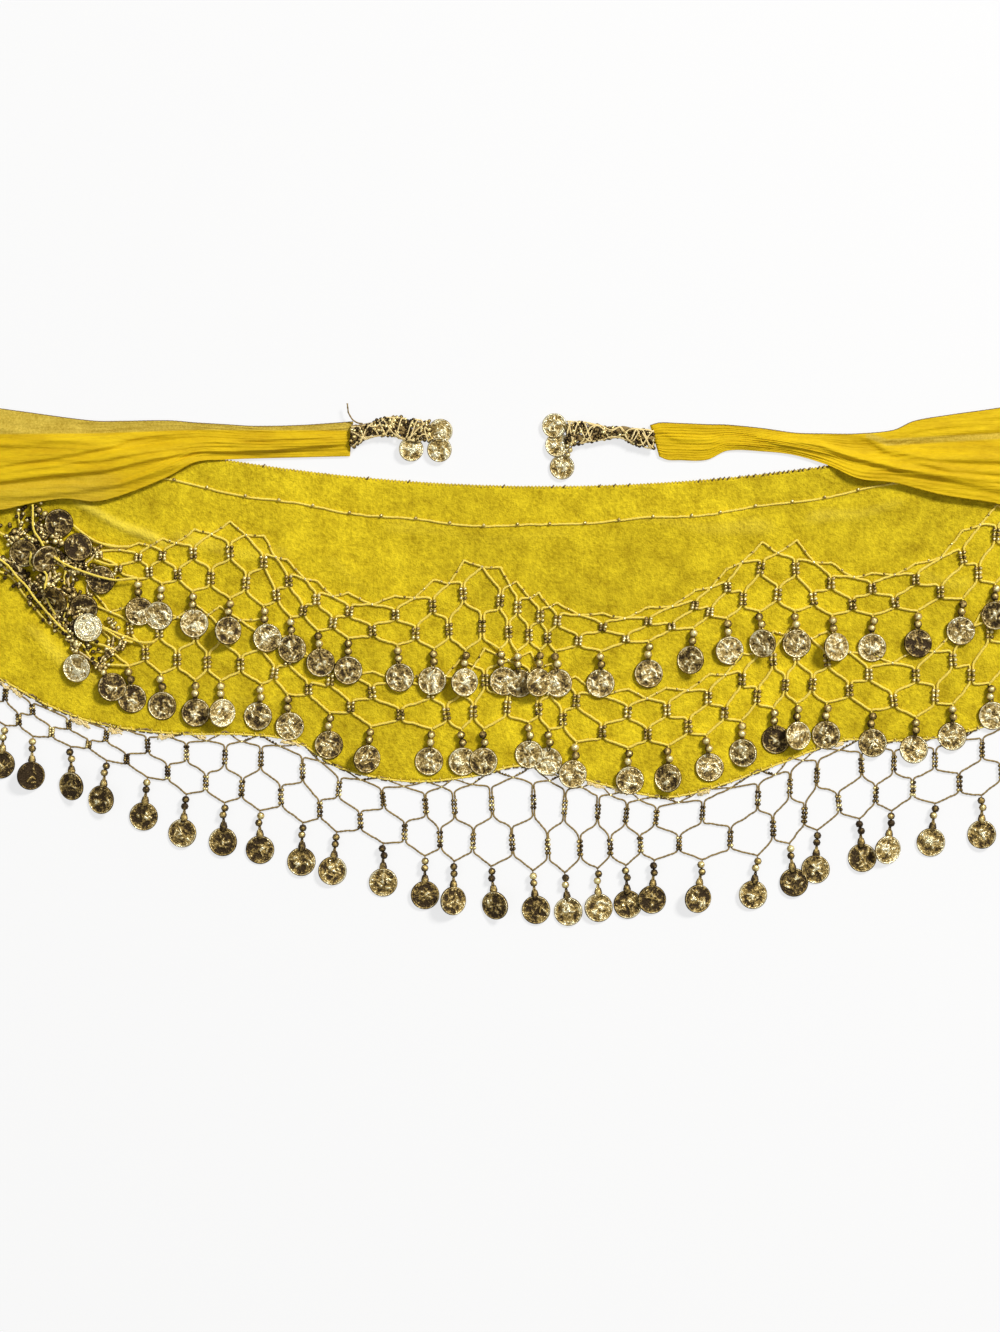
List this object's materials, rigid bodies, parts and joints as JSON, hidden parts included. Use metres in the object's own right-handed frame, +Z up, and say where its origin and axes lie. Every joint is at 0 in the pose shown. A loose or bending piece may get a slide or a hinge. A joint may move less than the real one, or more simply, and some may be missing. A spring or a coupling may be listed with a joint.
{
  "type": "belly dance hip scarf",
  "caption": "Golden velvet hip scarf laid flat, with rows of beaded net and coin drops over a crescent panel and two chiffon ties folded back to bead tassels.",
  "frame": {"origin": "middle of the scarf's footprint, on the surface it lies on", "axes": "+X along the waist towards the right-hand tie, +Y from the coin fringe to the waist edge, +Z up off the surface, with the beaded side up"},
  "size_m": [0.9456, 0.3423, 0.0086],
  "materials": {
    "velvet": "mottled golden velvet",
    "chiffon": "crushed chiffon",
    "thread": "twisted crochet thread",
    "brass": "antique, darkened in the relief"
  },
  "bodies": {
    "root": {"panel": "velvet", "waist_cord": "thread", "upper_net": "thread", "middle_net": "thread", "bottom_net": "thread", "upper_coins": "brass", "middle_coins": "brass", "bottom_coins": "brass", "tie_left": "chiffon", "tie_right": "chiffon", "tassel_left": "brass", "tassel_right": "brass", "tassel_coin_left_1": "brass", "tassel_coin_left_2": "brass", "tassel_coin_left_3": "brass", "tassel_coin_right_1": "brass", "tassel_coin_right_2": "brass", "tassel_coin_right_3": "brass"}
  },
  "joints": []
}
